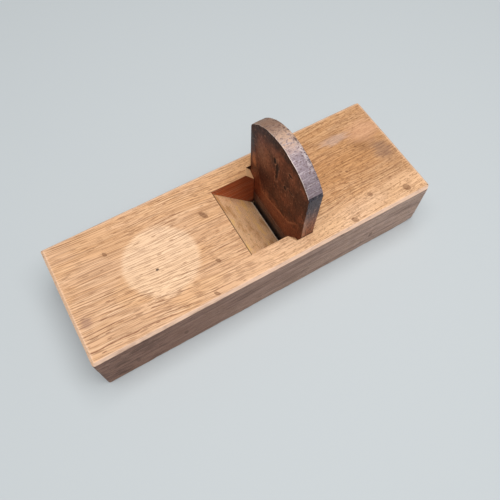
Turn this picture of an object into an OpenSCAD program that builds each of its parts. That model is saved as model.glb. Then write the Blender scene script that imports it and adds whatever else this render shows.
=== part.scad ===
// Japanese scraping plane: an upright laminated blade, wedged by its own taper into a one-piece oak block.
// +X runs along the block towards its head end, +Y across it and +Z up.
// The origin is at the centre of the sole. All sizes are in millimetres and degrees.

/* [Block] */
// Length of the block from its leading end to the blade's front face
front_l = 109.7; // [90:0.1:140]
// Length of the block from the blade's front face to its head end
rear_l = 72.8; // [50:0.1:100]
// Height of the block
block_h = 32; // [26:0.5:40]
// Wood left outside the groove on each side
side_wall = 7.6; // [5:0.1:14]
// Chamfer along the top edges
top_arris = 1.2; // [0.4:0.1:3]
// Chamfer along the edges of the sole
sole_arris = 0.7; // [0.2:0.1:2]
// Chamfer down the two corners of the leading end
lead_arris = 0.8; // [0.2:0.1:3]
// Chamfer down the two corners of the head end, which is the end that is struck
head_arris = 2; // [0.5:0.1:5]
// Chamfer along the lower edge of the head end
heel_arris = 2.6; // [0.5:0.1:5]

/* [Throat] */
// Length of the throat along the top of the block, up to the blade
throat_l = 24.9; // [20:0.1:34]
// Depth of the short upright cut above the front slope
throat_step = 1.5; // [0.5:0.1:3]
// Gap at the mouth between the front slope and the blade
mouth_gap = 0.8; // [0.5:0.1:4]
// Height of the upright wall between the front slope and the sole
mouth_h = 3; // [2:0.1:8]
// Depth of each side groove beyond the cheek of the throat
groove_d = 4.3; // [2.5:0.1:6]
// Length of the chiselled lead-in to each groove, along the cheek
lead_in_l = 5; // [3:0.1:8]
// Length of the lead-in along the outer wall of the groove
lead_in_outer_l = 2.6; // [1.5:0.1:6]
// Depth of the lead-in where it meets the groove at the cheek
lead_in_h = 6.6; // [2:0.1:8]

/* [Blade] */
// Width of the blade
blade_w = 48; // [36:0.5:60]
// Length of the blade from its edge to the crown of its head
blade_l = 75.3; // [62:0.1:95]
// Height of the crown above the shoulders
crown_rise = 11.4; // [4:0.1:16]
// Thickness of the blade at its edge, before the bevel is ground
edge_t = 5.7; // [4:0.1:7]
// Thickness of the blade at the crown of its head, before its front is hollowed
head_t = 8.2; // [7.4:0.1:10]
// Angle between the ground bevel and the front face
bevel_angle = 32; // [25:1:45]
// Height of the straight sides just above the cutting edge
ear_h = 3; // [1:0.1:5]
// Slope of the ground ears that narrow the blade to the mouth, from the level
ear_angle = 50; // [35:1:65]
// How much the bevel at each shoulder takes off its corner
shoulder_bevel = 0.25; // [0.1:0.05:0.6]

/* [Forged hollow] */
// Height above the edge at which the forged hollow of the front face runs out, at the middle
forge_l = 27; // [20:0.5:34]
// Lean of the line where it runs out
forge_lean = 12; // [0:1:15]
// Dip of the hollow's floor towards the head
forge_dip = 0.3; // [0.2:0.1:1]
// Width of the flat rim beside the foot of the hollow
rim_w = 12; // [6:0.5:16]
// Height over which the rim on the +Y side narrows to nothing
rim_far_h = 40; // [20:1:50]
// Height over which the rim on the -Y side narrows to nothing
rim_near_h = 15; // [8:1:50]
// Dip of the hollow's sides
rim_dip = 1.5; // [0.5:0.1:3]

/* [Steel layer] */
// Thickness of the steel layer
steel_t = 1.5; // [0.8:0.1:2.5]
// Height of the weld line above the edge
steel_l = 13.2; // [10:0.1:18]
// Angle of the scarf at the top of the steel layer
scarf_angle = 40; // [20:1:60]
// Depth of the hollow ground into the steel layer
hollow_d = 0.3; // [0.1:0.05:0.6]
// Width of the hollow
hollow_w = 33; // [20:0.5:37]
// Height of the hollow
hollow_h = 9.5; // [6:0.5:14]
// Width of the flat land between the hollow and the edge
land_h = 1.8; // [1:0.1:3]

/* [Fit] */
// Gap between each side of the blade and the outer wall of its groove
side_clear = 0.15; // [0.1:0.05:0.4]
// Gap between the blade's front face and the front walls of the grooves
face_clear = 0.1; // [0.05:0.05:0.3]
// Gap between the blade's back and the bed
bed_clear = 0.1; // [0.05:0.05:0.3]
// Gap between each end of the cutting edge and the cheek of the mouth
edge_clear = 0.35; // [0.2:0.05:1]
// Height of the edge above the sole while the blade is drawn back
edge_lift = 0.3; // [0.1:0.1:1]
// Gap under the ears of the blade, at the foot of each groove
foot_clear = 1; // [0.8:0.1:2]

/* [Hidden] */
$fn = 96;

// Overall sizes of the block, and the place of the blade's front face in it
block_l = front_l + rear_l;
slot_w = blade_w + 2 * side_clear;
block_w = slot_w + 2 * side_wall;
throat_w = slot_w - 2 * groove_d;
blade_x = front_l - block_l / 2;

// Heights on the blade, and the radius of its head
edge_w = throat_w - 2 * edge_clear;
crown_z = edge_lift + blade_l;
shoulder_z = crown_z - crown_rise;
head_r = (pow(blade_w / 2, 2) + pow(crown_rise, 2)) / (2 * crown_rise);
ear_z = edge_lift + ear_h;
ear_top_z = ear_z + (blade_w - edge_w) / 2 * tan(ear_angle);

// Foot of each groove, which follows the ear of the blade
foot_z = ear_z - foot_clear;
foot_top_z = foot_z + groove_d * tan(ear_angle);

// Cutters run this far past the surface that they cut
over = 1;

// Thickness of the blade at a height above the sole
function blade_t(z) = edge_t + (head_t - edge_t) * (z - edge_lift) / blade_l;

// Place of the bed at a height above the sole, behind the blade's front face
function bed_x(z) = blade_t(z) + bed_clear;

// Lays a profile drawn in X and Z across the width w
module across(w) {
    rotate([90, 0, 0])
        linear_extrude(height = w, center = true)
            children();
}

// Lays a profile drawn in Y and Z along X, from x0 over the length l
module along(x0, l) {
    translate([x0, 0, 0])
        rotate([90, 0, 90])
            linear_extrude(height = l)
                children();
}

// The block's rectangle seen from above, with a chamfer at each corner
module plan_profile() {
    l = block_l / 2;
    w = block_w / 2;
    polygon([
        [-l, -w + lead_arris], [-l + lead_arris, -w], [l - head_arris, -w], [l, -w + head_arris],
        [l, w - head_arris], [l - head_arris, w], [-l + lead_arris, w], [-l, w - lead_arris]
    ]);
}

// The block seen from its side
module side_profile() {
    l = block_l / 2;
    polygon([
        [-l, sole_arris], [-l + sole_arris, 0], [l - heel_arris, 0], [l, heel_arris],
        [l, block_h - top_arris], [l - top_arris, block_h], [-l + top_arris, block_h], [-l, block_h - top_arris]
    ]);
}

// The block seen from its end
module end_profile() {
    w = block_w / 2;
    polygon([
        [-w, sole_arris], [-w + sole_arris, 0], [w - sole_arris, 0], [w, sole_arris],
        [w, block_h - top_arris], [w - top_arris, block_h], [-w + top_arris, block_h], [-w, block_h - top_arris]
    ]);
}

// The squared and chamfered billet before anything is cut into it
module billet() {
    intersection() {
        linear_extrude(height = block_h) plan_profile();
        across(block_w) side_profile();
        along(-block_l / 2, block_l) end_profile();
    }
}

// The throat between its cheeks: a short upright cut, the front slope, the upright mouth wall and the bed
module throat_cut() {
    across(throat_w)
        polygon([
            [-throat_l, block_h + over], [-throat_l, block_h - throat_step], [-mouth_gap, mouth_h], [-mouth_gap, -over],
            [bed_x(-over), -over], [bed_x(block_h + over), block_h + over]
        ]);
}

// The slot that the blade slides in, with a groove in each cheek that ends in a slanted foot
module slot_cut() {
    inner = throat_w / 2;
    outer = slot_w / 2;
    intersection() {
        across(slot_w)
            polygon([
                [-face_clear, -over], [bed_x(-over), -over],
                [bed_x(block_h + over), block_h + over], [-face_clear, block_h + over]
            ]);
        along(-over, bed_x(block_h + over) + 2 * over)
            polygon([
                [-inner, -over], [inner, -over], [inner, foot_z], [outer, foot_top_z], [outer, block_h + over],
                [-outer, block_h + over], [-outer, foot_top_z], [-inner, foot_z]
            ]);
    }
}

// The flat facet chiselled at the top of one groove, deepest at the cheek
module lead_in_cut() {
    skew = atan((lead_in_l - lead_in_outer_l) / groove_d);
    run = lead_in_l * cos(skew);
    intersection() {
        translate([-lead_in_l, throat_w / 2, block_h])
            rotate([0, 0, -skew])
                across(6 * groove_d)
                    polygon([[0, over], [0, 0], [run, -lead_in_h], [2 * run, -lead_in_h], [2 * run, over]]);
        translate([-lead_in_l - over, throat_w / 2 - over, block_h - 2 * lead_in_h])
            cube([lead_in_l + 2 * over, groove_d + over, 3 * lead_in_h]);
    }
}

// The one-piece block
module oak_block() {
    color([0.80, 0.58, 0.37])
        difference() {
            billet();
            translate([blade_x, 0, 0]) {
                throat_cut();
                slot_cut();
                lead_in_cut();
                mirror([0, 1, 0]) lead_in_cut();
            }
        }
}

// The blade seen from its side, thicker towards the head
module taper_profile() {
    polygon([
        [0, edge_lift], [blade_t(edge_lift), edge_lift],
        [blade_t(crown_z + over), crown_z + over], [0, crown_z + over]
    ]);
}

// The blade seen from the front, with its ears and its round head
module front_profile() {
    ear = edge_w / 2;
    side = blade_w / 2;
    polygon([
        [-ear, edge_lift], [ear, edge_lift], [ear, ear_z], [side, ear_top_z], [side, shoulder_z],
        [-side, shoulder_z], [-side, ear_top_z], [-ear, ear_z]
    ]);
    intersection() {
        translate([0, crown_z - head_r]) circle(r = head_r);
        translate([-side, shoulder_z - over]) square([blade_w, crown_rise + 2 * over]);
    }
}

// The waste ground away behind the edge to make the bevel
module bevel_cut() {
    translate([0, 0, edge_lift])
        rotate([0, bevel_angle, 0])
            translate([0, -blade_w / 2 - over, -blade_l])
                cube([blade_l, blade_w + 2 * over, 2 * blade_l]);
}

// The corner taken off one shoulder, square to the line that halves it
module shoulder_cut() {
    arc_turn = asin(blade_w / 2 / head_r);
    translate([-over, blade_w / 2, shoulder_z])
        rotate([-(90 + arc_turn) / 2, 0, 0])
            translate([0, -blade_w, -shoulder_bevel])
                cube([head_t + 3 * over, 2 * blade_w, crown_rise]);
}

// The space in front of a plane that dips into the blade, from the line through [y, z] on the front face;
// the line is turned about X from the level, and the plane dips on its upper side
module dip_from(y, z, turn, dip) {
    translate([0, y, z])
        rotate([turn, 0, 0])
            rotate([0, dip, 0])
                translate([-blade_l, -2 * blade_l, 0])
                    cube([blade_l, 4 * blade_l, 2 * blade_l]);
}

// The long shallow hollow left by the forge on the front face, between two ground rims
module forged_hollow_cut() {
    foot_y = blade_w / 2 - rim_w;
    forge_z = edge_lift + forge_l;
    drop = foot_y * tan(forge_lean);
    intersection() {
        dip_from(0, forge_z, -forge_lean, forge_dip);
        dip_from(foot_y, forge_z - drop, 90 - atan2(rim_w, rim_far_h), rim_dip);
        dip_from(-foot_y, forge_z + drop, atan2(rim_w, rim_near_h) - 90, rim_dip);
    }
}

// The outline of the hollow seen from the front, arched at its top like a fingernail
module hollow_profile() {
    half = hollow_w / 2;
    arch_rise = hollow_h / 3;
    arch_r = (pow(half, 2) + pow(arch_rise, 2)) / (2 * arch_rise);
    translate([-half, 0]) square([hollow_w, hollow_h - arch_rise]);
    intersection() {
        translate([0, hollow_h - arch_r]) circle(r = arch_r);
        translate([-half, hollow_h - arch_rise - over]) square([hollow_w, arch_rise + 2 * over]);
    }
}

// The shallow hollow in the steel, scooped with a round wheel that lies across the blade
module hollow_cut() {
    wheel_r = (pow(hollow_h / 2, 2) + pow(hollow_d, 2)) / (2 * hollow_d);
    translate([0, 0, edge_lift + land_h])
        intersection() {
            translate([hollow_d - wheel_r, 0, hollow_h / 2])
                rotate([90, 0, 0])
                    cylinder(r = wheel_r, h = hollow_w + 2 * over, center = true, $fn = 720);
            along(-over, 2 * over + hollow_d) hollow_profile();
        }
}

// The whole blade, before it is divided into its iron and its steel
module blade_blank() {
    difference() {
        intersection() {
            across(blade_w) taper_profile();
            along(-over, head_t + 3 * over) front_profile();
        }
        bevel_cut();
        shoulder_cut();
        mirror([0, 1, 0]) shoulder_cut();
        forged_hollow_cut();
        hollow_cut();
    }
}

// The room that the steel layer takes up, closed above by the slanted scarf of the weld
module steel_room() {
    intersection() {
        translate([-over, -blade_w, -over])
            cube([steel_t + over, 2 * blade_w, blade_l]);
        translate([0, 0, edge_lift + steel_l])
            rotate([0, scarf_angle, 0])
                translate([-blade_l, -blade_w, -2 * blade_l])
                    cube([2 * blade_l, 2 * blade_w, 2 * blade_l]);
    }
}

// The soft iron body of the blade
module blade_iron() {
    color([0.33, 0.24, 0.20])
        translate([blade_x, 0, 0])
            difference() {
                blade_blank();
                steel_room();
            }
}

// The hard steel layer that carries the cutting edge
module blade_steel() {
    color([0.52, 0.50, 0.49])
        translate([blade_x, 0, 0])
            intersection() {
                blade_blank();
                steel_room();
            }
}

oak_block();
blade_iron();
blade_steel();
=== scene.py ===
# %% [markdown]
# A scraping plane is a plain oak block with a thick blade standing upright in it. The blade is wedged
# by its own taper in two grooves, so nothing else holds it. The solids come from the CAD model. This
# script gives them worn edges, forge marks and finishes, and it starts by loading them, because every
# piece here is made from one of them.

import math

import bmesh
import bpy
from mathutils import Matrix, Vector, noise


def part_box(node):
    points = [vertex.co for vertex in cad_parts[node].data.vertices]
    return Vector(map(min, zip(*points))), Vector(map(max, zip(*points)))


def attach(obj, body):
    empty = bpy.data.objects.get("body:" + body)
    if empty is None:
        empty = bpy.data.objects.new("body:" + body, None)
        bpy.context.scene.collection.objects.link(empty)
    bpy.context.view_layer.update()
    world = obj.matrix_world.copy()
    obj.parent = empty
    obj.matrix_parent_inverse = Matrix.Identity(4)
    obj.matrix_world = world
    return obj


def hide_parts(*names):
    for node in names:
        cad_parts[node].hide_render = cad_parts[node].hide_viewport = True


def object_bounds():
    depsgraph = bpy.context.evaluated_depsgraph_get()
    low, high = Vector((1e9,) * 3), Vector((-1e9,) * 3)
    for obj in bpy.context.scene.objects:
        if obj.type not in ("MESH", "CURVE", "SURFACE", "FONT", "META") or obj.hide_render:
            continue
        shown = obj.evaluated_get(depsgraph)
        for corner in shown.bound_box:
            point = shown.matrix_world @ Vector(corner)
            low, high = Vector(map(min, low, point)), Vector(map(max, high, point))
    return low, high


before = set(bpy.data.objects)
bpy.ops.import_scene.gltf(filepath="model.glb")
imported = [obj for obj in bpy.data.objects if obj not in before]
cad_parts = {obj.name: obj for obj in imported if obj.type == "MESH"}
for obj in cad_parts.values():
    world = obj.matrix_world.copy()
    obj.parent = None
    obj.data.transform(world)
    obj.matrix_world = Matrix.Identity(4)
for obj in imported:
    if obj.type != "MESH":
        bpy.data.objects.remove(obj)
cad_low, cad_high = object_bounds()
MM = 0.001

# %% [markdown]
# The camera stands over the leading half of the plane and looks down at it, as in the photograph. Its
# place could be found by eye, but straight edges give it exactly: the block's edges run to three
# vanishing points, and those settle the lens and the three directions. No shift of the lens is needed.

# %% Camera
lens_mm = 37.89
camera_place_mm = Vector((-62.7, -110.9, 253.3))
look = Vector((0.2305, 0.3789, -0.8963)).normalized()
picture_up = Vector((0.4475, 0.7766, 0.4434))

camera = bpy.data.objects.new("camera", bpy.data.cameras.new("camera"))
bpy.context.scene.collection.objects.link(camera)
camera.data.sensor_width = 36
camera.data.lens = lens_mm
camera.data.clip_start = 0.01
right = look.cross(picture_up).normalized()
up = right.cross(look)
turned = Matrix((right, up, -look)).transposed().to_4x4()
camera.matrix_world = Matrix.Translation(camera_place_mm * MM) @ turned
bpy.context.scene.camera = camera
print("camera looks down by", round(math.degrees(math.asin(-look.z)), 1), "degrees")

# %% [markdown]
# The studio is a pale floor under one large soft light. A single big light from above leaves the top of
# the block bright and its upright sides in soft shade, and its edge gives the steel something to
# mirror. Many small lamps would do it too, but they would draw a shadow each. The floor comes first.

# %% Floor
def srgb(red, green, blue):
    """The linear colour of three display values from 0 to 255."""
    values = [v / 255 for v in (red, green, blue)]
    return tuple(v / 12.92 if v <= 0.04045 else ((v + 0.055) / 1.055) ** 2.4 for v in values) + (1.0,)


def new_object(name, mesh):
    """Puts a bmesh into the scene as an object at the origin."""
    data = bpy.data.meshes.new(name)
    mesh.to_mesh(data)
    mesh.free()
    made = bpy.data.objects.new(name, data)
    bpy.context.scene.collection.objects.link(made)
    return made


floor_mesh = bmesh.new()
bmesh.ops.create_grid(floor_mesh, x_segments=1, y_segments=1, size=3)
floor = new_object("floor", floor_mesh)
floor_finish = bpy.data.materials.new("pale_floor")
floor_finish.use_nodes = True
floor_shader = floor_finish.node_tree.nodes["Principled BSDF"]
floor_shader.inputs["Base Color"].default_value = srgb(190, 195, 197)
floor_shader.inputs["Roughness"].default_value = 0.8
floor.data.materials.append(floor_finish)
print("floor", round(floor.dimensions.x, 1), "m wide")

# %% [markdown]
# One big light stands above the near side, and a dim room fills the shade that it leaves. The standard
# view keeps the colours as they are mixed, so that they can be compared with a photograph.

# %% Light
softbox = bpy.data.objects.new("softbox", bpy.data.lights.new("softbox", "AREA"))
softbox.data.shape = "RECTANGLE"
softbox.data.size = 0.9
softbox.data.size_y = 0.9
softbox.data.energy = 12
softbox_place = Vector((0.03, -0.12, 0.95))
softbox.location = softbox_place
softbox.rotation_euler = (Vector((0, 0, 0)) - softbox_place).to_track_quat("-Z", "Y").to_euler()
bpy.context.scene.collection.objects.link(softbox)

room = bpy.data.worlds.new("room")
room.use_nodes = True
room.node_tree.nodes["Background"].inputs["Color"].default_value = srgb(204, 210, 214)
room.node_tree.nodes["Background"].inputs["Strength"].default_value = 0.28
bpy.context.scene.world = room
bpy.context.scene.view_settings.view_transform = "Standard"
print("softbox", round(softbox_place.length, 2), "m from the plane")

# %% [markdown]
# The solids have dead sharp edges and dead flat faces, and no old tool has either. A mesh could be
# sculpted by hand, but here a copy of each solid is merged into whole faces, its outer edges are
# rounded, and it is sliced into small faces, so that it can be worn.

# %% Ways to merge, round and slice a solid
def merged_copy(node_name):
    """A copy of a solid with its loose triangles joined into whole faces."""
    mesh = bmesh.new()
    mesh.from_mesh(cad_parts[node_name].data)
    bmesh.ops.remove_doubles(mesh, verts=mesh.verts[:], dist=0.002 * MM)
    bmesh.ops.dissolve_limit(
        mesh, angle_limit=math.radians(0.2), verts=mesh.verts[:], edges=mesh.edges[:]
    )
    return mesh


def round_edges(mesh, width_mm, chosen):
    """Rounds the outer edges that the test chooses."""
    edges = []
    for edge in mesh.edges:
        if len(edge.link_faces) == 2 and edge.is_convex and edge.calc_face_angle() > math.radians(20):
            middle = (edge.verts[0].co + edge.verts[1].co) / 2 / MM
            if chosen(middle):
                edges.append(edge)
    bmesh.ops.bevel(
        mesh, geom=edges, affect="EDGES", offset=width_mm * MM, segments=3, profile=0.5,
        material=-1, clamp_overlap=True, loop_slide=True
    )
    return len(edges)


def slice_up(mesh, axis, step_mm):
    """Cuts the mesh by planes across axis 0, 1 or 2, so that its faces are small enough to wear."""
    normal = Vector((0, 0, 0))
    normal[axis] = 1
    low = min(v.co[axis] for v in mesh.verts)
    high = max(v.co[axis] for v in mesh.verts)
    count = round((high - low) / (step_mm * MM))
    for cut in range(1, count):
        place = normal * (low + (high - low) * cut / count)
        everything = mesh.verts[:] + mesh.edges[:] + mesh.faces[:]
        bmesh.ops.bisect_plane(mesh, geom=everything, dist=1e-6, plane_co=place, plane_no=normal)


print("solids to dress:", len(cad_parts))

# %% [markdown]
# Wear is a depth at each corner of the small faces, where hands, hammers or the forge have been. A
# corner is only ever sunk along its normal, so the tool keeps its real size. The depths come from soft
# noise of the place, which is the same at every run.

# %% Ways to wear and finish a solid
def sink(mesh, depth):
    """Moves each corner inwards by a depth in millimetres that depends on its place and normal."""
    mesh.normal_update()
    moves = [(v, v.normal.copy(), depth(v.co / MM, v.normal)) for v in mesh.verts]
    for vert, normal, amount in moves:
        vert.co -= normal * max(amount, 0) * MM
    mesh.normal_update()


def smooth_fade(value, low, high):
    """0 below low, 1 above high and a soft slope between them."""
    part = min(max((value - low) / (high - low), 0), 1)
    return part * part * (3 - 2 * part)


def ripple(point, size_mm, layers=3):
    """Soft noise around 0, with swells of about the given size."""
    return noise.fractal(point / size_mm, 0.8, 2.0, layers)


def finish_piece(name, mesh, node_name, body):
    """Makes the piece that stands for one solid, with even shading over its rounded edges."""
    for face in mesh.faces:
        face.smooth = True
    piece = new_object(name, mesh)
    shading = piece.modifiers.new("even_shading", "WEIGHTED_NORMAL")
    shading.keep_sharp = True
    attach(piece, body)
    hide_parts(node_name)
    print(name, "has", len(piece.data.polygons), "faces")
    return piece


print("ripple at the corner of the block:", round(ripple(Vector(cad_low) / MM, 14), 2))

# %% [markdown]
# The block is split from one billet of oak and planed. Its long top edges are chamfered, and years of
# handling have rounded them unevenly. The head end has been struck with a mallet, which bruises its
# corners. The wear is soft noise that only bites near those edges, with a few deeper bruises.

# %% Block
block_low, block_high = (Vector(corner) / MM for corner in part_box("oak_block"))
# The front of the throat at the top, a line behind its bed and one just outside its grooves
throat_front_x = -6.45
behind_bed_x = 28
outside_groove_y = 24.3


def inside_throat(point):
    """True on the edges and faces of the throat and its grooves."""
    return throat_front_x - 0.2 < point.x < behind_bed_x and abs(point.y) < outside_groove_y


def block_wear(point):
    """Wear along the outer edges, deeper at the struck end."""
    gaps = sorted(
        min(abs(point[axis] - block_low[axis]), abs(point[axis] - block_high[axis])) for axis in range(3)
    )
    near_edge = 1 - smooth_fade(gaps[1], 0.6, 2.6)
    struck = smooth_fade(point.x, 70, 91)
    swell = ripple(point, 14) + 0.5
    nick = smooth_fade(ripple(point + Vector((40, 0, 0)), 5, 2), 0.34, 0.6)
    return near_edge * (0.1 * max(swell, 0) + (0.12 + 0.4 * struck) * nick)


block_mesh = merged_copy("oak_block")
outer = round_edges(block_mesh, 0.38, lambda point: not inside_throat(point))
inner = round_edges(block_mesh, 0.1, inside_throat)
slice_up(block_mesh, 0, 1.8)
slice_up(block_mesh, 1, 2.6)
slice_up(block_mesh, 2, 2.6)
sink(block_mesh, lambda point, normal: block_wear(point))
print("rounded", outer, "outer edges and", inner, "edges of the throat")
block = finish_piece("worn_oak_block", block_mesh, "oak_block", "block")

# %% [markdown]
# The blade is a laminate: a thick body of soft iron, with a thin layer of hard steel welded to it
# behind the cutting edge. The smith leaves the front of the iron with its forge skin in one long
# shallow hollow, and grinds the rims beside and below it. Each side of the hollow is a line on the
# front face, so one short list of lines can place the skin for the shape and the finish.

# %% Where the forge skin is
# The place in Y and Z of one point on each line, and its turn from the level, in millimetres and degrees
SKIN_LINES = ((0.0, 27.3, -12.0), (12.0, 24.75, 73.3), (-12.0, 29.85, -51.3))
# The blade's front face, the middle and the radius of its round head, and where the head begins
blade_front_x = 18.45
head_centre_z = 44.64
head_radius = 30.96
shoulder_z = 64.2


def inside_skin(y, z):
    """How far a point of the front face is inside the forged hollow, in millimetres."""
    reach = []
    for line_y, line_z, turn in SKIN_LINES:
        turned = math.radians(turn)
        reach.append(math.cos(turned) * (z - line_z) - math.sin(turned) * (y - line_y))
    return min(reach)


print("the middle of the face lies", round(inside_skin(0, 45), 1), "mm inside the forged hollow")

# %% [markdown]
# Forge skin is pitted and wavy, the ground rims are flat, and the round head is dented by the hammer
# that sets the blade, most of all along its back edge. A sculpt would do, but depths given by soft
# noise in each region repeat at every run and keep the pits where the photograph has them.

# %% Wear of the iron
# The place in Y and Z, the half width and the half height of each cluster of pits
PITS = (
    (1.1, 55.5, 1.2, 6.0), (3.3, 61.0, 1.0, 2.0), (-9.3, 64.3, 1.3, 0.9), (-6.4, 51.5, 0.9, 1.3),
    (-10.9, 53.6, 1.8, 0.6),
)


def pitting(point):
    """1 in the middle of a cluster of pits, broken up by fine noise."""
    deepest = 0
    for pit_y, pit_z, half_y, half_z in PITS:
        off = math.hypot((point.y - pit_y) / half_y, (point.z - pit_z) / half_z)
        rough_edge = off + 0.9 * ripple(point, 1.6, 2)
        deepest = max(deepest, 1 - smooth_fade(rough_edge, 0.5, 1.2))
    return deepest


def face_wear(point):
    """Forge skin and pits inside the hollow of the front face, and next to nothing on its ground rims."""
    skin = smooth_fade(inside_skin(point.y, point.z), -0.3, 1.6)
    swell = 0.16 * (ripple(point, 9) + 0.45)
    grain = 0.05 * (ripple(point, 1.8) + 0.6)
    return skin * (swell + grain + 0.28 * pitting(point)) + 0.02 * (ripple(point, 6) + 0.5)


def head_wear(point):
    """Hammer dents and file lines on the round head, deepest along its back edge."""
    dents = 0.22 * max(ripple(point, 4.2, 2) + 0.25, 0)
    files = 0.04 * abs(noise.noise(Vector((point.x / 9, point.y / 0.8, point.z / 0.8))))
    bruised_back = smooth_fade(point.x, 24.0, 26.5) * 0.4 * max(ripple(point, 5.0, 2) + 0.2, 0)
    return dents + files + bruised_back


def back_wear(point):
    """Forge scale on the back, above the bed."""
    shown = smooth_fade(point.z, 20, 34)
    return shown * (0.14 * (ripple(point, 8) + 0.4) + 0.05 * (ripple(point, 2) + 0.5))


def iron_wear(point, normal):
    """The wear of each side of the iron; what is left over is the flanks and the bevel."""
    if normal.x < -0.6:
        return face_wear(point)
    if point.z > shoulder_z - 0.4 and normal.z > 0.2:
        return head_wear(point)
    if normal.x > 0.6:
        return back_wear(point)
    return 0.05 * (ripple(Vector((point.x, point.y, point.z / 5)), 1.6) + 0.4)


first_pit = Vector((blade_front_x, PITS[0][0], PITS[0][1]))
print("wear in the middle of the first cluster of pits:", round(face_wear(first_pit), 2), "mm")

# %% [markdown]
# The iron's outer edges are softened, but not its seam with the steel or its ground bevel, which a
# stone keeps crisp. The slices are finer than the block's, because the pits and dents are small.

# %% Iron body
# The top and the back of the seam with the steel, and the height below which the bevel is ground
seam_top_z = 13.7
seam_back_x = 20.1
bevel_top_z = 3


def outer_iron_edge(point):
    """True away from the seam with the steel and from the ground bevel."""
    beside_seam = point.z < seam_top_z and point.x < seam_back_x
    return not beside_seam and point.z > bevel_top_z


iron_mesh = merged_copy("blade_iron")
iron_edges = round_edges(iron_mesh, 0.35, outer_iron_edge)
slice_up(iron_mesh, 1, 0.8)
slice_up(iron_mesh, 2, 0.8)
slice_up(iron_mesh, 0, 1.0)
sink(iron_mesh, iron_wear)
print("rounded", iron_edges, "edges of the iron")
iron = finish_piece("forged_blade_iron", iron_mesh, "blade_iron", "blade")

# %% [markdown]
# The steel layer is ground and polished, so it keeps its flat faces and crisp edge. Its only shape is
# the shallow hollow that makes it quick to sharpen, and the solid already has that. It is sliced too,
# so that the two pieces are shaded alike at their seam.

# %% Steel layer
steel_mesh = merged_copy("blade_steel")
slice_up(steel_mesh, 1, 1.6)
slice_up(steel_mesh, 2, 0.8)
steel = finish_piece("ground_blade_steel", steel_mesh, "blade_steel", "blade")

# %% [markdown]
# Every finish is a set of shader nodes. Wiring them one by one hides the sum that they make, so a small
# class wraps a socket, and a plus or a times between two of them adds the Math node. All other nodes
# come from one method. Places are in millimetres, because grain is measured so.

# %% A class for shader sums
class Term:
    """One output of a node in a material; sums on it add Math nodes."""

    def __init__(self, tree, socket=None):
        self.tree = tree
        self.socket = socket

    def node(self, kind, settings=None, inputs=None, output=0):
        """Adds a node, sets it up, fills its sockets and returns one of its outputs."""
        made = self.tree.nodes.new(kind)
        for name, value in (settings or {}).items():
            setattr(made, name, value)
        for name, value in (inputs or {}).items():
            if isinstance(value, Term):
                self.tree.links.new(value.socket, made.inputs[name])
            else:
                made.inputs[name].default_value = value
        return Term(self.tree, made.outputs[output])

    def math(self, operation, *others):
        """Adds a Math node that works on this value and the others."""
        values = (self,) + others
        return self.node("ShaderNodeMath", {"operation": operation}, dict(enumerate(values)))

    def __add__(self, other):
        return self.math("ADD", other)

    __radd__ = __add__

    def __mul__(self, other):
        return self.math("MULTIPLY", other)

    __rmul__ = __mul__

    def __sub__(self, other):
        return self.math("SUBTRACT", other)

    def __rsub__(self, other):
        return (self * -1.0) + other

    def __truediv__(self, other):
        return self.math("DIVIDE", other)

    def fade(self, low, high):
        """0 below low, 1 above high; the other way round when low is the larger."""
        return self.node(
            "ShaderNodeMapRange", {"interpolation_type": "SMOOTHSTEP"},
            {0: self, 1: low, 2: high, 3: 0.0, 4: 1.0}
        )

    def vector(self, operation, other, socket=1):
        """Vector maths between this place and another one or a plain vector."""
        return self.node("ShaderNodeVectorMath", {"operation": operation}, {0: self, socket: other})

    def part(self, index):
        """One of the three numbers of a place or a colour."""
        return self.node("ShaderNodeSeparateXYZ", None, {0: self}, output=index)

    x = property(lambda self: self.part(0))
    y = property(lambda self: self.part(1))
    z = property(lambda self: self.part(2))

    def stretched(self, along, across, upright):
        """The place in cells of the given size in millimetres."""
        return self.vector("MULTIPLY", (1 / along, 1 / across, 1 / upright))

    def cloud(self, detail=2.0, rough=0.5):
        """Soft noise from 0 to 1, with swells of about one cell."""
        return self.node(
            "ShaderNodeTexNoise", None, {"Vector": self, "Scale": 1.0, "Detail": detail, "Roughness": rough}
        )

    def cells(self, output=0):
        """Scattered points: the distance to the nearest one, or its own colour."""
        return self.node("ShaderNodeTexVoronoi", None, {"Vector": self, "Scale": 1.0}, output=output)


print("sums on sockets are made by the class", Term.__name__)

# %% [markdown]
# Colours can't go through a Math node, which would turn them grey, so they are mixed and tinted by Mix
# nodes. Each finish starts the same way, with one shader and the place on the piece, and ends by
# linking a colour, a roughness and a height, so those steps are kept here.

# %% Mix colours, start a finish and feed it
def mixed(start, end, factor):
    """A colour between two colours; a colour is a Term or four plain numbers."""
    inputs = {0: factor, 6: start, 7: end}
    return factor.node("ShaderNodeMix", {"data_type": "RGBA"}, inputs, output=2)


def tinted(colour, tint, factor):
    """The colour multiplied by a tint, as far as the factor says."""
    inputs = {0: factor, 6: colour, 7: tint}
    return factor.node("ShaderNodeMix", {"data_type": "RGBA", "blend_type": "MULTIPLY"}, inputs, output=2)


def new_finish(name, gloss_level):
    """A material, its shader node and the place on the piece in millimetres."""
    material = bpy.data.materials.new(name)
    material.use_nodes = True
    tree = material.node_tree
    shader = tree.nodes["Principled BSDF"]
    shader.inputs["Specular IOR Level"].default_value = gloss_level
    metres = Term(tree).node("ShaderNodeTexCoord", output="Object")
    place = metres.node("ShaderNodeVectorMath", {"operation": "SCALE"}, {0: metres, "Scale": 1000.0})
    return material, shader, place


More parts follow.
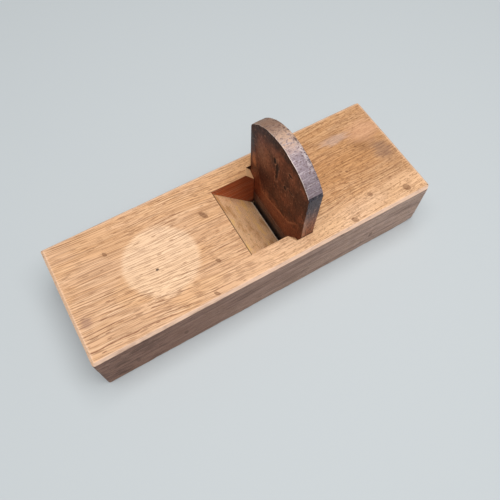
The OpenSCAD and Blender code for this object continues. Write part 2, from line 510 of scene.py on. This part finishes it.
def feed(shader, colour, roughness, height, depth_mm):
    """Links the colour, the roughness and the fine relief to a shader."""
    colour.tree.links.new(colour.socket, shader.inputs["Base Color"])
    colour.tree.links.new(roughness.socket, shader.inputs["Roughness"])
    relief = height.node(
        "ShaderNodeBump", None, {"Height": height, "Distance": depth_mm * MM, "Strength": 1.0}
    )
    height.tree.links.new(relief.socket, shader.inputs["Normal"])


print("mid grey in linear light:", round(srgb(128, 128, 128)[0], 3))

# %% [markdown]
# Oak is drawn as the solid that it is: rings round a pith that lies outside the block, with fibres that
# run along X. No tree grows dead straight, so the place is bent a little before the rings are drawn. An
# image of a board could be laid on each face, but then the grain would not run round the edges, and the
# end grain would be wrong. One function of the place gives every face its own cut for free.

# %% Bent grain of the oak
def bent_grain(place):
    """The place along the fibres: bent everywhere, bowed along the block and wavy near its near edge."""
    bend_place = place.stretched(70, 32, 32)
    bend = bend_place.node(
        "ShaderNodeTexNoise", None, {"Vector": bend_place, "Scale": 1.0, "Detail": 1.0}, output="Color"
    )
    bend = bend.vector("SUBTRACT", (0.5, 0.5, 0.5)).vector("MULTIPLY", (0.0, 6.0, 6.0))
    x = place.x
    waver = (place.stretched(12, 60, 60).cloud(1.0) - 0.5) * place.y.fade(-14, -29) * 1.8
    skew = x * 0.01 - x * x * 0.00045 + waver
    shift = skew.node("ShaderNodeCombineXYZ", None, {1: skew})
    return place.vector("ADD", bend).vector("ADD", shift)


pith_aside = 85.0
pith_below = 70.0
ring_width = 0.9
print("the rings meet the sole at", round(math.degrees(math.atan2(pith_aside, pith_below))), "degrees")

# %% [markdown]
# Each year starts with a row of wide pores and ends with dense, light wood. On a long face the rows are
# broken lines, on an end they are arcs, and the rays are dark spindles on one and light lines on the
# other. Every part is soft noise in cells that are long along the fibres, and comes back under its own
# name, so that each face can mix the parts in its own strengths.

# %% Figure of the oak
def oak_figure(place):
    """Each part of the oak's figure, from 0 to 1, by its name."""
    x = place.x
    fibre_place = bent_grain(place)
    across = fibre_place.y + pith_aside
    upright = fibre_place.z + pith_below
    radius = (across * across + upright * upright).math("SQRT")
    drift = place.stretched(120, 7, 7).cloud(1.0) * 3.2
    year = (radius / ring_width + drift).math("FRACT")
    figure = {"late": year.fade(0.4, 0.9)}

    # Rows of pores, in dashes and groups, with more breaks on the head half
    early = year.fade(0.0, 0.08) * year.fade(0.33, 0.2)
    groups = fibre_place.stretched(45, 2.6, 2.6).cloud(2.0).fade(0.38, 0.62)
    dashes = fibre_place.stretched(16, 1.2, 1.2).cloud(3.0, 0.6).fade(0.38, 0.52)
    breaks = fibre_place.stretched(2.6, 0.9, 0.9).cloud(2.0).fade(0.36, 0.52)
    breaks = breaks.math("MAXIMUM", x.fade(10, -20) * 0.7)
    figure["rows"] = early * dashes * (0.3 + groups * 0.7) * (0.45 + breaks * 0.55)
    figure["dense"] = year.fade(0.36, 0.5) * year.fade(0.95, 0.75) * dashes * groups

    # Loose pores, long streaks and dark ray spindles between the rows
    pore_place = fibre_place.stretched(7, 0.42, 0.42)
    figure["pores"] = pore_place.cells().fade(0.36, 0.25) * pore_place.cells(output=1).part(0).fade(0.3, 0.7)
    figure["streaks"] = fibre_place.stretched(30, 0.33, 0.33).cloud(1.0, 0.5).fade(0.56, 0.62)
    ray_place = fibre_place.stretched(8, 1.9, 16)
    figure["rays"] = ray_place.cells().fade(0.2, 0.1) * ray_place.cells(output=1).part(2).fade(0.45, 0.6)
    figure["fibres"] = fibre_place.stretched(22, 0.38, 0.38).cloud(2.0, 0.6)

    # Bands of a few years each, and the light lines of the rays on the two ends
    band_place = radius.node("ShaderNodeCombineXYZ", None, {0: radius / 2.4, 1: x / 80.0})
    figure["bands"] = band_place.cloud(2.0).fade(0.36, 0.64)
    figure["on_end"] = x.math("ABSOLUTE").fade(block_high.x - 0.7, block_high.x - 0.4)
    ray_angle = radius.node("ShaderNodeCombineXYZ", None, {0: across / upright * 90.0, 1: radius / 9.0})
    figure["ray_lines"] = ray_angle.cloud(1.0).fade(0.58, 0.64) * figure["on_end"]
    return figure


def oak_tone(figure, place, pale, deep, band_share=0.25):
    """The ground colour of the oak between two tones, before its pores."""
    patch = place.stretched(46, 15, 15).cloud(2.0).fade(0.3, 0.75)
    tone = mixed(pale, deep, figure["bands"] * band_share + figure["late"] * 0.12 + patch * 0.05)
    tone = mixed(tone, srgb(255, 224, 188), figure["dense"] * 0.22)
    tone = mixed(tone, srgb(232, 200, 172), figure["ray_lines"] * 0.35)
    return tinted(tone, (0.88, 0.83, 0.77, 1.0), figure["fibres"].fade(0.44, 0.62))


def with_pores(tone, figure, pore_colour, strength):
    """The oak with its dark pores, and the height of its surface for the fine relief."""
    lines = figure["rows"].math("MAXIMUM", figure["streaks"] * 0.6)
    holes = lines.math("MAXIMUM", figure["pores"] * 0.7).math("MAXIMUM", figure["rays"] * 0.8)
    height = 1.0 - holes * 0.8 - figure["late"] * 0.1 - figure["fibres"] * 0.3
    return mixed(tone, pore_colour, holes * strength), height


print("each year's ring is", ring_width, "mm wide")

# %% [markdown]
# The top has been planed and then handled and oiled for years. It carries a paler disc where something
# round once stood, a handful of brown ray ends and a few stains. Each could be painted on an image, but
# a soft ellipse at its own place in millimetres stays put from every side.

# %% Places of the marks on the top
def ellipse(place, centre, half_sizes, turn=0.0, axes=(0, 1)):
    """0 at the middle of a flat ellipse and 1 on its rim, in the plane of two axes."""
    u = place.part(axes[0]) - centre[0]
    v = place.part(axes[1]) - centre[1]
    if turn:
        across, along = math.sin(math.radians(turn)), math.cos(math.radians(turn))
        u, v = u * along + v * across, v * along - u * across
    u = u / half_sizes[0]
    v = v / half_sizes[1]
    return (u * u + v * v).math("SQRT")


# How far the rubbed rim reaches in from the corner that the block would have without its chamfers
rim_reach = 1.2


def worn_rim(place, width):
    """1 along the upper chamfers of the block, fading out over a width in millimetres."""
    along_side = place.y.math("ABSOLUTE") + place.z - (block_high.y + block_high.z - rim_reach)
    along_end = place.x.math("ABSOLUTE") + place.z - (block_high.x + block_high.z - rim_reach)
    unevenness = (place.stretched(7, 2, 2).cloud() - 0.5) * width
    return (along_side.math("MAXIMUM", along_end) + unevenness).fade(-width, 0.1)


# The middle of the paler disc, of its pinhole and of the wood that the hand has greased
disc_centre = (-44.3, -1.5)
disc_radius = 18.4
pinhole_centre = (-47.8, -4.8)
greased_centre = (54, 4)
# The place in X and Y, the half length, the half width and the turn of each brown ray end
RAY_ENDS = (
    (-65.8, 14.4, 1.5, 0.9, -60), (-15.9, 10.3, 2.8, 1.3, -60), (-21.2, -14.7, 1.5, 1.0, -55),
    (-29.5, -28.9, 1.6, 0.9, -45), (46.6, -28.6, 2.1, 1.3, -45), (61.4, -20.4, 1.5, 1.2, -50),
    (79.8, -26.2, 2.3, 1.8, -60), (72.0, 7.2, 0.8, 0.5, -70), (75.9, 5.5, 0.7, 0.5, -70),
    (59.1, -3.4, 0.8, 0.6, -40),
)
# The place in X and Y, the half length, the half width and the colour of each stain
STAINS = (
    (65.5, 16.2, 9.0, 2.8, srgb(198, 170, 156)), (83.5, -1.5, 5.5, 6.5, srgb(128, 100, 88)),
    (-85.9, -12.3, 2.6, 3.4, srgb(140, 104, 92)), (76.5, 7.0, 6.0, 5.0, srgb(150, 104, 66)),
    (81.5, 14.0, 10.0, 6.5, srgb(220, 166, 130)),
)
print(len(RAY_ENDS), "ray ends and", len(STAINS), "stains")

# %% [markdown]
# The wood of the top is pinker towards the leading end and more yellow towards the head, with one
# lighter strip along the near edge. Tints multiply what is there, so the figure stays visible through
# them, which a plain mix of colours would hide.

# %% Wood of the top
top_finish, top_shader, top_place = new_finish("oak_top", 0.25)
top_figure = oak_figure(top_place)
top_wood = oak_tone(top_figure, top_place, srgb(227, 182, 143), srgb(202, 152, 110), 0.16)

# Yellow towards the head, and a light strip along the near edge
headward = top_place.x.fade(-42, 36)
near_strip = top_place.y.fade(-14, -24)
top_wood = tinted(top_wood, (0.92, 0.85, 0.73, 1.0), headward * (1.0 - near_strip * 0.7))
top_wood = mixed(top_wood, srgb(255, 212, 172), headward * near_strip * 0.35)

# Painted shade darkens the head end and the far edge beside the blade, and warm clouds lie everywhere
far_strip = top_place.y.fade(2, 20)
painted_end_shade = top_place.x.fade(48, 80).math("MAXIMUM", top_place.x.fade(10, 30) * far_strip)
top_wood = tinted(top_wood, (0.9, 0.9, 0.91, 1.0), painted_end_shade * (1.0 - near_strip * 0.7))
warmth = top_place.stretched(30, 12, 12).cloud(2.0).fade(0.42, 0.62)
top_wood = tinted(top_wood, (1.0, 0.97, 0.9, 1.0), warmth)

# The paler disc, ragged along the fibres, where the pores show less
ragged = top_place.stretched(7, 1.2, 1.2).cloud(3.0)
disc = (ellipse(top_place, disc_centre, (disc_radius, disc_radius)) + (ragged - 0.5) * 0.2).fade(1.08, 0.9)
top_wood = mixed(top_wood, srgb(255, 220, 184), disc * (0.4 + ragged * 0.18))
pore_strength = 0.92 - disc * 0.14 - headward * (0.14 + near_strip * 0.2)
top_wood, top_height = with_pores(top_wood, top_figure, srgb(128, 80, 50), pore_strength)
print("the wood of the top takes", len(top_finish.node_tree.nodes), "nodes")

# %% [markdown]
# The marks come after the wood, because they lie over it: the grease of a hand behind the blade, dust
# and freckles on the head half, ray ends, stains and the rubbed chamfers. Each edge is broken up by
# noise, since an even edge would look printed.

# %% Marks on the top
grease = ellipse(top_place, greased_centre, (34, 20)) + (top_place.stretched(9, 4, 4).cloud(4.0) - 0.5) * 2.2
top_wood = tinted(top_wood, (0.9, 0.84, 0.76, 1.0), grease.fade(1.2, 0.4))
speck = top_place.stretched(2.2, 0.8, 0.8).cloud(2.0)
freckle_place = top_place.stretched(2.2, 1.2, 1.2)
freckles = freckle_place.cells().fade(0.34, 0.14) * freckle_place.cells(output=1).part(0).fade(0.5, 0.7)
dust = speck.fade(0.54, 0.66).math("MAXIMUM", freckles) * headward * 0.5
top_wood = mixed(top_wood, srgb(132, 88, 52), dust)
for x, y, half_length, half_width, turn in RAY_ENDS:
    mark = ellipse(top_place, (x, y), (half_length, half_width), turn) + (speck - 0.5) * 0.9
    top_wood = mixed(top_wood, srgb(122, 80, 50), mark.fade(1.1, 0.8) * (0.3 + speck * 0.7))
pinhole = ellipse(top_place, pinhole_centre, (0.8, 0.6)).fade(1.2, 0.7)
top_wood = mixed(top_wood, srgb(56, 38, 28), pinhole * 0.85)
for x, y, half_length, half_width, stain_colour in STAINS:
    stain = ellipse(top_place, (x, y), (half_length, half_width)) + (ragged - 0.5) * 1.2
    top_wood = mixed(top_wood, stain_colour, stain.fade(1.4, 0.4) * 0.5)
top_wood = mixed(top_wood, srgb(248, 208, 176), worn_rim(top_place, 1.0) * 0.55)
feed(top_shader, top_wood, 0.52 + top_figure["fibres"] * 0.18, top_height, 0.1)
print("the top with its marks takes", len(top_finish.node_tree.nodes), "nodes")

# %% [markdown]
# The sides and the ends have gone darker than the top. Dust, hands and a painted cool bounce of light
# have turned them grey-brown, painted shade makes them darker towards the leading end, and they are paler
# along their lower edges. The sole is trued now and then, so it keeps less of the dirt, and it takes less
# of the painted shade. It is the same figure with other colours and strengths, so the lines run on round
# the edges of the block.

# %% Sides, ends and sole
side_finish, side_shader, side_place = new_finish("oak_sides", 0.25)
side_figure = oak_figure(side_place)
side_wood = oak_tone(side_figure, side_place, srgb(218, 186, 170), srgb(186, 152, 136), 0.5)
on_sole = side_place.z.fade(0.35, 0.1)
grime = side_place.stretched(34, 6, 2.6).cloud(3.0).fade(0.45, 0.7) * (1.0 - on_sole * 0.6)
side_wood = mixed(side_wood, srgb(136, 106, 96), grime * (0.6 - side_figure["on_end"] * 0.45))
side_wood = tinted(side_wood, (0.66, 0.62, 0.58, 1.0), side_figure["bands"] * side_figure["on_end"] * 0.8)
low_edge = side_place.z.fade(4.5, 0.5)
side_wood = mixed(side_wood, srgb(226, 190, 168), low_edge * 0.4)
# Painted shade darkens the sides towards the leading end, less so on the sole.
painted_shade_lead = side_place.x.fade(85, -75) * (1.0 - on_sole * 0.7)
side_wood = tinted(side_wood, (0.56, 0.46, 0.42, 1.0), painted_shade_lead)
bruise = side_place.stretched(9, 9, 3).cloud(4.0).fade(0.53, 0.64) * side_place.x.fade(-30, -80)
side_wood = tinted(side_wood, (0.62, 0.6, 0.6, 1.0), bruise * (1.0 - on_sole))
side_wood, side_height = with_pores(side_wood, side_figure, srgb(88, 62, 50), 0.7)
side_wood = mixed(side_wood, srgb(246, 208, 180), worn_rim(side_place, 0.7) * 0.85)
feed(side_shader, side_wood, 0.55 + side_figure["fibres"] * 0.2, side_height, 0.12)
print("the sides take", len(side_finish.node_tree.nodes), "nodes")

# %% [markdown]
# The throat was cut with a chisel and is still smooth. Its slope has gone tan, with smears where
# shavings rub, dirt and painted shade in the corner under the short upright cut at its top, and a painted
# highlight along the worn rim of the mouth. The lead-ins of the grooves face up as it does and are paler,
# so they share its finish.

# %% Slope of the throat
cheek_y = 19.85
slope_finish, slope_shader, slope_place = new_finish("oak_slope", 0.3)
slope_figure = oak_figure(slope_place)
slope_wood = oak_tone(slope_figure, slope_place, srgb(246, 200, 154), srgb(222, 170, 118), 0.05)
slope_smear = slope_place.stretched(7, 10, 7).cloud(4.0, 0.6)
slope_wood = mixed(slope_wood, srgb(192, 134, 74), slope_smear.fade(0.5, 0.66) * 0.7)
slope_wood = mixed(slope_wood, srgb(255, 206, 128), slope_smear.fade(0.48, 0.36) * 0.7)
slope_dots = slope_place.stretched(1.6, 1.6, 1.6).cloud(1.0).fade(0.7, 0.78)
slope_wood = mixed(slope_wood, srgb(110, 76, 48), slope_dots * 0.6)
slope_wood, slope_height = with_pores(slope_wood, slope_figure, srgb(140, 94, 58), 0.4)
# Dirt and painted shade darken the corner under the upright cut at the top of the slope.
corner_dirt_and_shade = slope_place.z.fade(29.0, 29.7)
slope_wood = mixed(slope_wood, srgb(70, 44, 28), corner_dirt_and_shade * 0.85)
# A painted highlight runs along the worn rim of the mouth.
mouth_edge_highlight = slope_place.z.fade(4.4, 3.5)
slope_wood = mixed(slope_wood, srgb(255, 226, 196), mouth_edge_highlight * 0.8)
lead_in = slope_place.y.math("ABSOLUTE").fade(cheek_y, cheek_y + 0.1)
slope_wood = mixed(slope_wood, srgb(255, 206, 152), lead_in * 0.9)
feed(slope_shader, slope_wood, 0.48 + slope_figure["fibres"] * 0.15, slope_height, 0.05)
print("the slope takes", len(slope_finish.node_tree.nodes), "nodes")

# %% [markdown]
# The cheeks of the throat are dark and red, with oil and with a painted warm bounce of light. Painted
# shade makes them darker still towards the blade, and black inside the grooves and low down. Shade in
# the scene alone would not make them so dark, because the soft light reaches into the throat.

# %% Cheeks of the throat
cheek_finish, cheek_shader, cheek_place = new_finish("oak_cheeks", 0.3)
cheek_figure = oak_figure(cheek_place)
cheek_wood = oak_tone(cheek_figure, cheek_place, srgb(204, 108, 62), srgb(160, 78, 44))
cheek_wood, cheek_height = with_pores(cheek_wood, cheek_figure, srgb(92, 46, 28), 0.55)
# Painted shade darkens the cheeks towards the blade.
cheek_wood = tinted(cheek_wood, (0.62, 0.58, 0.56, 1.0), cheek_place.x.fade(2, 17))
# Painted shade turns the cheeks black low down and inside the grooves.
low_shade = cheek_place.z.fade(9.0, 3.5)
groove_shade = cheek_place.y.math("ABSOLUTE").fade(cheek_y + 0.1, cheek_y + 0.3)
cheek_wood = mixed(cheek_wood, srgb(34, 20, 14), low_shade.math("MAXIMUM", groove_shade) * 0.85)
feed(cheek_shader, cheek_wood, 0.5 + cheek_figure["fibres"] * 0.15, cheek_height, 0.08)
print("the cheeks take", len(cheek_finish.node_tree.nodes), "nodes")

# %% [markdown]
# Each face of the block gets one of the four oaks by the way it looks and where it is: up for the top,
# inside the throat for the slope and the cheeks, and the rest are sides. The chamfers belong to the
# faces beside them, so the change of tone falls on an edge, as it does on the real block.

# %% Give the block its finishes
top, side, slope, cheek = range(4)
for finish in (top_finish, side_finish, slope_finish, cheek_finish):
    block.data.materials.append(finish)
counts = [0, 0, 0, 0]
for face in block.data.polygons:
    centre = face.center / MM
    normal = face.normal
    above_sole = centre.z > 0.05
    if inside_throat(centre) and above_sole and normal.z < 0.9:
        on_slope = normal.x > 0.3 and normal.z > 0.3
        on_lead_in = normal.z > 0.3 and abs(centre.y) > cheek_y - 0.2
        kind = slope if on_slope or on_lead_in else cheek
    else:
        kind = top if normal.z > 0.3 and normal.y > -0.5 else side
    face.material_index = kind
    counts[kind] += 1
print("faces on the top, the sides, the slope and the cheeks:", counts)

# %% [markdown]
# Old iron is a thin brown skin of oxide over grey metal. The skin is nearly black where the forge scale
# is left, and redder and smoother where the stone has been. One way is to layer shaders; here one metal
# shader changes its colour, its roughness and how metallic it is from place to place, which exports
# cleanly. First come the two kinds of ground: the forged hollow and its ground rims.

# %% Ground of the blade's face
def skin_reach(place):
    """How far a place is inside the forged hollow, in millimetres, as inside_skin gives it for a point."""
    reach = None
    for line_y, line_z, turn in SKIN_LINES:
        turned = math.radians(turn)
        rise = (place.z - line_z) * math.cos(turned)
        side = (place.y - line_y) * math.sin(turned)
        inside = rise - side
        reach = inside if reach is None else reach.math("MINIMUM", inside)
    return reach


iron_finish, iron_shader, iron_place = new_finish("iron_face", 0.3)
reach = skin_reach(iron_place)
skin = (reach + (iron_place.stretched(3, 3, 3).cloud() - 0.5) * 1.6).fade(-0.5, 0.9)
blotch = iron_place.stretched(9, 9, 10).cloud(4.0, 0.6)
fine = iron_place.stretched(1.2, 0.9, 1.6).cloud(3.0, 0.65)
forged = mixed(srgb(110, 60, 40), srgb(140, 80, 54), blotch.fade(0.5, 0.66))
forged = mixed(forged, srgb(78, 42, 30), blotch.fade(0.5, 0.38) * 0.8)
low_down = (iron_place.z + (blotch - 0.5) * 34.0).fade(46, 28)
ground = mixed(srgb(88, 46, 31), srgb(146, 82, 56), low_down)
# A painted highlight runs low on the face along the ground rims, at the edge of the forged hollow.
rim_edge_highlight = (reach + (fine - 0.5) * 1.2).fade(-1.7, -0.4) * (1.0 - skin)
ground = mixed(ground, srgb(188, 126, 92), rim_edge_highlight * iron_place.z.fade(42, 30) * 0.85)
ground = mixed(ground, srgb(84, 48, 36), iron_place.z.fade(20.0, 14.0) * 0.6)
face_colour = mixed(ground, forged, skin)
print("the ground of the face takes", len(iron_finish.node_tree.nodes), "nodes")

# %% [markdown]
# Rust, oil and heat have left the face in soft patches, lighter beside the pits and nearly black at the
# far upper corner, and a painted shadow follows the rim of the head and the near edge. The patches are
# large and few, so each has its own place and colour in a list, as the pits have.

# %% Patches on the blade's face
# The place in Y and Z, the half width, the half height and the colour of each soft patch
FACE_PATCHES = (
    (11.5, 54.0, 7.5, 10.0, srgb(164, 106, 74)), (4.0, 65.5, 6.0, 3.5, srgb(156, 96, 68)),
    (10.0, 37.0, 9.0, 7.0, srgb(74, 34, 22)), (3.0, 57.5, 4.5, 5.5, srgb(78, 42, 30)),
    (-18.0, 53.0, 8.0, 11.0, srgb(78, 38, 24)), (-1.0, 74.0, 15.0, 4.5, srgb(64, 33, 24)),
    (16.5, 67.0, 9.0, 6.0, srgb(22, 18, 18)), (8.0, 71.5, 7.0, 3.0, srgb(40, 22, 18)),
    (22.0, 58.0, 3.5, 9.0, srgb(44, 38, 38)), (20.5, 42.0, 2.6, 7.0, srgb(206, 136, 94)),
    (8.0, 26.0, 3.0, 5.0, srgb(160, 100, 68)),
)
near_edge_y = -23.9

for patch_y, patch_z, half_y, half_z, patch_colour in FACE_PATCHES:
    patch = ellipse(iron_place, (patch_y, patch_z), (half_y, half_z), axes=(1, 2)) + (blotch - 0.5) * 1.5
    face_colour = mixed(face_colour, patch_colour, patch.fade(1.3, 0.2) * 0.7)
# A painted shadow runs inside the rim of the head and down the near edge.
from_axis = iron_place.y
above_centre = (iron_place.z - head_centre_z).math("MAXIMUM", 0.0)
head_gap = head_radius - (from_axis * from_axis + above_centre * above_centre).math("SQRT")
rim_gap = head_gap.math("MINIMUM", from_axis - near_edge_y) + (fine - 0.5) * 1.5
rim_shadow = rim_gap.fade(2.6, 0.8) * iron_place.z.fade(42, 52)
face_colour = mixed(face_colour, srgb(54, 27, 19), rim_shadow * 0.6)
print(len(FACE_PATCHES), "patches on the face")

# %% [markdown]
# Last on the face comes its fine grain: a dark and light mottle, scattered pocks, and the clusters of
# pits. The pits are sunk in the mesh, but at this size their shade is faint, so they are also painted
# dark, with a light edge where the metal round them is rubbed.

# %% Pocks and pits on the blade's face
face_colour = tinted(face_colour, (0.5, 0.42, 0.38, 1.0), fine.fade(0.5, 0.66) * 0.7)
face_colour = mixed(face_colour, srgb(200, 140, 104), fine.fade(0.42, 0.3) * 0.4)
pock_place = iron_place.stretched(1.7, 1.5, 1.9)
pocks = pock_place.cells().fade(0.34, 0.16) * pock_place.cells(output=1).part(0).fade(0.6, 0.75)
face_colour = mixed(face_colour, srgb(44, 24, 18), pocks * 0.65)
for pit_y, pit_z, half_y, half_z in PITS:
    pit = ellipse(iron_place, (pit_y, pit_z), (half_y, half_z), axes=(1, 2)) + (fine - 0.5) * 2.4
    face_colour = mixed(face_colour, srgb(210, 150, 116), pit.fade(1.7, 1.4) * pit.fade(1.1, 1.4) * 0.4)
    face_colour = mixed(face_colour, srgb(36, 18, 14), pit.fade(1.2, 0.85) * 0.85)
feed(iron_shader, face_colour, 0.38 + skin * 0.12 + fine * 0.2, blotch + fine * 0.5, 0.12)
iron_place.tree.links.new((0.65 - skin * 0.35).socket, iron_shader.inputs["Metallic"])
print("the whole face takes", len(iron_finish.node_tree.nodes), "nodes")

# %% [markdown]
# The hammer and the hand keep the head bright: grey with a violet cast towards the near side, brown
# towards the far side, with a bare patch near the middle that is also a painted highlight, and fine file
# lines across it. A painted highlight runs along its front rim, and its back edge is dark on the far side
# and rubbed on the near side, with a painted highlight on the rubbed part.

# %% Iron of the head
head_finish, head_shader, head_place = new_finish("iron_head", 0.5)
far_side = head_place.y.fade(-4, 14)
mottle = head_place.stretched(1.1, 1.1, 1.1).cloud(4.0, 0.7)
file_lines = head_place.stretched(6, 0.36, 0.36).cloud(2.0, 0.5)
head_colour = mixed(srgb(142, 126, 132), srgb(166, 130, 108), far_side)
# The bare patch near the middle is partly a painted highlight.
clean_lit_patch = head_place.y.fade(13, 4) * head_place.y.fade(-9, 0)
head_colour = mixed(head_colour, srgb(232, 192, 158), clean_lit_patch * mottle.fade(0.66, 0.42) * 0.6)
head_colour = mixed(head_colour, srgb(94, 66, 56), mottle.fade(0.5, 0.64) * (0.65 - clean_lit_patch * 0.4))
head_colour = mixed(head_colour, srgb(206, 194, 196), file_lines.fade(0.56, 0.66) * (0.5 - far_side * 0.35))
dark_back = head_place.x.fade(24.4, 26.0) * mottle.fade(0.48, 0.56) * (0.35 + far_side * 0.65)
head_colour = mixed(head_colour, srgb(60, 42, 38), dark_back * 0.8)
# A painted highlight lies on the rubbed back edge of the near side.
near_side = head_place.y.fade(1, -5) * head_place.y.fade(-18, -12)
rubbed_back_highlight = head_place.x.fade(23.6, 25.4) * near_side * mottle.fade(0.54, 0.42)
head_colour = mixed(head_colour, srgb(226, 212, 206), rubbed_back_highlight * (0.2 + file_lines * 0.5))
# A painted highlight runs along the front rim.
front_rim_highlight = head_place.x.fade(blade_front_x + 0.75, blade_front_x + 0.4) * (1.0 - far_side * 0.5)
head_colour = mixed(head_colour, srgb(236, 218, 206), front_rim_highlight * 0.8)
feed(head_shader, head_colour, 0.5 + mottle * 0.2, mottle + file_lines * 0.4, 0.18)
head_shader.inputs["Metallic"].default_value = 0.45
print("the head takes", len(head_finish.node_tree.nodes), "nodes")

# %% [markdown]
# The flanks are blue-black above, where the forge left them, and pinkish below, where the groove rubs
# them. Upright streaks are noise in cells that are long along Z, because the blade is tapped up and
# down and rubs along that way.

# %% Iron of the flanks
flank_finish, flank_shader, flank_place = new_finish("iron_flanks", 0.5)
streak = flank_place.stretched(0.6, 0.6, 3.2).cloud(4.0, 0.7)
crust = flank_place.stretched(2.2, 2.2, 3.2).cloud(4.0, 0.7)
lower = (flank_place.z + (crust - 0.5) * 30.0).fade(58, 38)
flank_colour = mixed(srgb(84, 78, 86), srgb(160, 112, 94), lower)
flank_colour = mixed(flank_colour, srgb(38, 30, 32), streak.fade(0.5, 0.6) * 0.8)
flank_colour = mixed(flank_colour, srgb(186, 168, 166), crust.fade(0.44, 0.32) * 0.5)
rubbed = flank_place.x.fade(blade_front_x + 2.6, blade_front_x + 0.6) * lower
flank_colour = mixed(flank_colour, srgb(196, 160, 142), rubbed * 0.6)
feed(flank_shader, flank_colour, 0.36 + streak * 0.2, streak, 0.1)
flank_shader.inputs["Metallic"].default_value = 0.7
print("the flanks take", len(flank_finish.node_tree.nodes), "nodes")

# %% [markdown]
# Nothing touches the back but the bed, so it keeps its forge scale, brown and grey in soft patches,
# rubbed smooth where the bed holds it. It is a guess, because the photograph does not show it, and it
# is kept plain for that reason.

# %% Iron of the back
back_finish, back_shader, back_place = new_finish("iron_back", 0.5)
scale_patch = back_place.stretched(11, 11, 15).cloud(4.0, 0.6)
scale_grain = back_place.stretched(1.4, 1.4, 2.4).cloud(3.0, 0.65)
back_colour = mixed(srgb(78, 60, 52), srgb(132, 92, 68), scale_patch.fade(0.48, 0.7) * 0.8)
back_colour = mixed(back_colour, srgb(50, 42, 40), scale_patch.fade(0.5, 0.34) * 0.8)
bedded = back_place.z.fade(34, 27)
back_colour = mixed(back_colour, srgb(146, 116, 98), bedded * (0.2 + scale_grain.fade(0.7, 0.4) * 0.4))
back_colour = tinted(back_colour, (0.5, 0.46, 0.44, 1.0), scale_grain.fade(0.5, 0.7) * (0.7 - bedded * 0.35))
back_roughness = 0.62 - bedded * 0.15 + scale_grain * 0.15
feed(back_shader, back_colour, back_roughness, scale_patch + scale_grain * 0.5, 0.15)
back_shader.inputs["Metallic"].default_value = 0.35
print("the back takes", len(back_finish.node_tree.nodes), "nodes")

# %% [markdown]
# The bevel is ground down to bare metal at every sharpening, so it is bright, with scratches along the
# edge. It is a guess too. The steel layer meets the same stone, so the two share one function, and each
# has a finish of its own.

# %% Ground metal of the bevel
def ground_metal(place, bright, stained):
    """The colour of metal ground on a stone, a little stained, and its scratches along the edge."""
    scratches = place.stretched(0.5, 26, 0.22).cloud(3.0, 0.6)
    stain = place.stretched(7, 7, 4).cloud(3.0)
    return mixed(bright, stained, stain.fade(0.4, 0.7)), scratches


bevel_finish, bevel_shader, bevel_place = new_finish("iron_bevel", 0.5)
bevel_colour, bevel_scratches = ground_metal(bevel_place, srgb(168, 160, 154), srgb(128, 112, 102))
feed(bevel_shader, bevel_colour, 0.32 + bevel_scratches * 0.2, bevel_scratches, 0.02)
bevel_shader.inputs["Metallic"].default_value = 0.85
print("the bevel takes", len(bevel_finish.node_tree.nodes), "nodes")

# %% [markdown]
# The iron is one piece of metal with five finishes, so each small face is given the one that belongs to
# its side of the blade. The round head, the flanks, the back and the bevel are told apart by where a
# face looks, and what is left over is the front.

# %% Give the iron its finishes
front, head, flank, back, bevel = range(5)
for finish in (iron_finish, head_finish, flank_finish, back_finish, bevel_finish):
    iron.data.materials.append(finish)
iron_counts = [0, 0, 0, 0, 0]
for face in iron.data.polygons:
    centre = face.center / MM
    from_middle = math.hypot(centre.y, centre.z - head_centre_z)
    on_head = from_middle > head_radius - 0.7 and abs(centre.y) < 23.3 and abs(face.normal.x) < 0.85
    kind = front
    if on_head and centre.z > shoulder_z - 0.2:
        kind = head
    elif abs(face.normal.y) > 0.5:
        kind = flank
    elif face.normal.x > 0.5 and face.normal.z > -0.3:
        kind = back
    elif face.normal.z < -0.3 and face.normal.x > 0:
        kind = bevel
    face.material_index = kind
    iron_counts[kind] += 1
print("faces on the front, the head, the flanks, the back and the bevel:", iron_counts)

# %% [markdown]
# The steel is harder than the iron and takes the same stone. Its front has gone as brown as the iron
# above it, and painted shade of the mouth makes it nearly black just above the edge, which stays free of
# it. It is made as the bevel was, with the painted shade added.

# %% Steel
steel_finish, steel_shader, steel_place = new_finish("ground_steel", 0.5)
steel_colour, steel_scratches = ground_metal(steel_place, srgb(118, 82, 66), srgb(84, 56, 44))
front_face = steel_place.x.fade(blade_front_x + 0.6, blade_front_x + 0.4)
steel_colour = mixed(srgb(168, 162, 156), steel_colour, front_face)
# Painted shade of the mouth makes the front nearly black just above the edge.
mouth_shade = steel_place.z.fade(9.5, 5.5) * steel_place.z.fade(1.0, 1.8) * front_face
steel_colour = mixed(steel_colour, srgb(24, 15, 11), mouth_shade * 0.85)
feed(steel_shader, steel_colour, 0.4 + steel_scratches * 0.2, steel_scratches, 0.02)
steel_shader.inputs["Metallic"].default_value = 0.7
steel.data.materials.append(steel_finish)
print("the steel takes", len(steel_finish.node_tree.nodes), "nodes")
